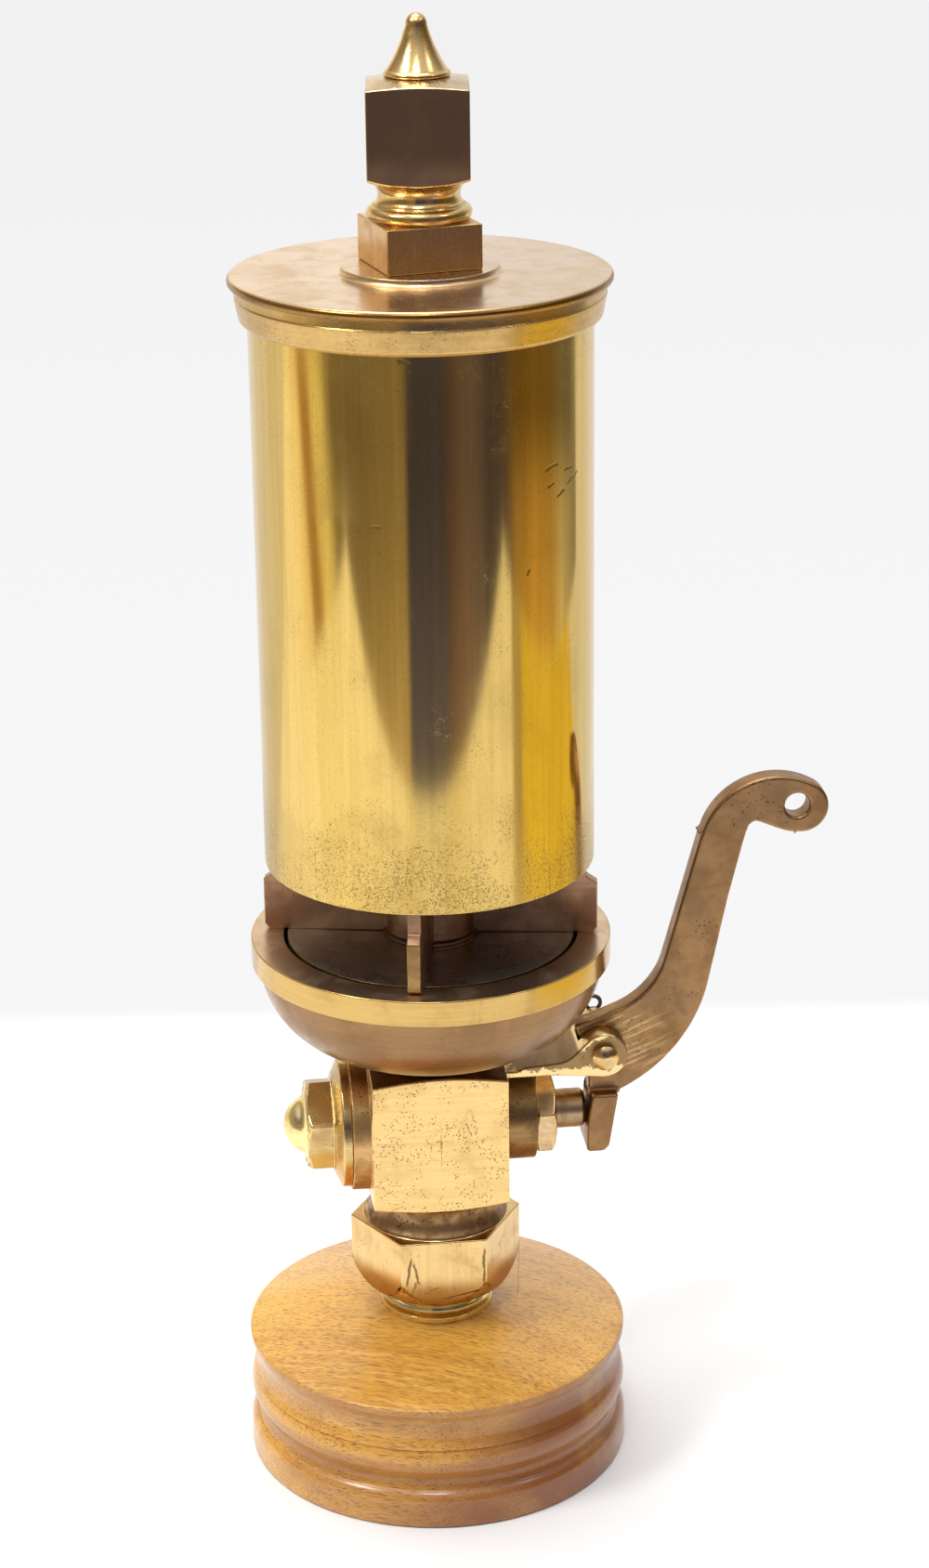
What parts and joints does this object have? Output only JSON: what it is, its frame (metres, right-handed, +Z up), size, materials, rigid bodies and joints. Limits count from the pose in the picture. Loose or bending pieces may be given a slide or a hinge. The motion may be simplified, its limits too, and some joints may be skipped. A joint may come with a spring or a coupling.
{
  "type": "steam whistle",
  "caption": "Chime steam whistle with a bell on a bowl, a plunger valve worked by a curved pull lever, and a turned wooden display base.",
  "frame": {"origin": "centre of the wooden base's underside", "axes": "+Z up the whistle's axis, +X towards the pull lever, the valve's axis along X"},
  "size_m": [0.1395, 0.0916, 0.3447],
  "materials": {
    "wood": "varnished",
    "bright_brass": "polished",
    "pale_bronze": "satin",
    "aged_bronze": "aged",
    "cast_bronze": "worn casting",
    "steel": "dull",
    "washer": "matte",
    "packing": "matte"
  },
  "bodies": {
    "whistle": {"wooden_base": "wood", "mounting_stud": "steel", "mounting_spigot": "bright_brass", "valve_body": "cast_bronze", "valve_seat": "bright_brass", "valve_spring": "steel", "bonnet": "bright_brass", "bonnet_gasket": "washer", "gland_nut": "pale_bronze", "gland_packing": "packing", "pivot_pin": "pale_bronze", "cotter_pin": "steel", "bowl": "pale_bronze", "stem_spider": "pale_bronze", "languid_disc": "aged_bronze", "center_stem": "bright_brass", "chamber_dividers": "aged_bronze", "chamber_stop_1": "aged_bronze", "chamber_stop_2": "aged_bronze", "chamber_stop_3": "aged_bronze", "bell_tube": "bright_brass", "bell_cap": "pale_bronze", "square_locknut": "aged_bronze", "pedestal_nut": "aged_bronze", "finial": "bright_brass"},
    "lever": {"lever": "cast_bronze"},
    "valve": {"valve_stem": "cast_bronze", "valve_disc": "bright_brass", "disc_washer": "washer", "disc_nut": "bright_brass"}
  },
  "joints": [
    {"name": "lever_pivot", "type": "hinge", "parent": "whistle", "child": "lever", "pos_m": [0.04, 0, 0.102], "axis": [0, 1, 0], "range_deg": [0, 13], "stiffness_Nm_per_rad": 0.565, "springref_deg": -10.54},
    {"name": "valve_slide", "type": "slide", "parent": "whistle", "child": "valve", "axis": [-1, 0, 0], "range_m": [0, 0.005], "deforming": ["valve_spring"]}
  ],
  "couplings": [
    {"joint": "valve_slide", "follows": "lever_pivot", "m_per_rad": 0.0217}
  ]
}
